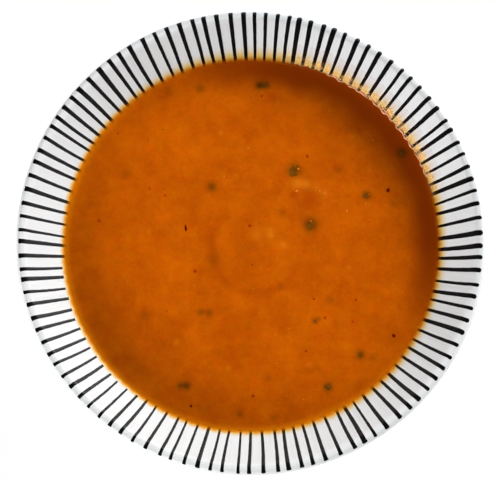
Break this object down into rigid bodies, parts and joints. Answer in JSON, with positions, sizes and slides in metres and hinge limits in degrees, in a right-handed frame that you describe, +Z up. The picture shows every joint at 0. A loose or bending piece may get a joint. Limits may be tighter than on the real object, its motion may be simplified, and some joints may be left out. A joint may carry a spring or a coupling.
{
  "type": "tomato soup",
  "caption": "Smooth orange tomato soup with herb flecks in a round white-glazed bowl painted inside with thin black radial stripes.",
  "frame": {"origin": "centre of the flat underside of the bowl's foot ring, on the bowl's axis", "axes": "+Z up along the bowl's axis; +X across the bowl, to the right in the picture; +Y across the bowl, to the top of the picture"},
  "size_m": [0.18, 0.18, 0.05],
  "materials": {
    "glaze": "gloss",
    "soup": "semi-gloss"
  },
  "bodies": {
    "root": {"bowl": "glaze", "soup": "soup"}
  },
  "joints": []
}
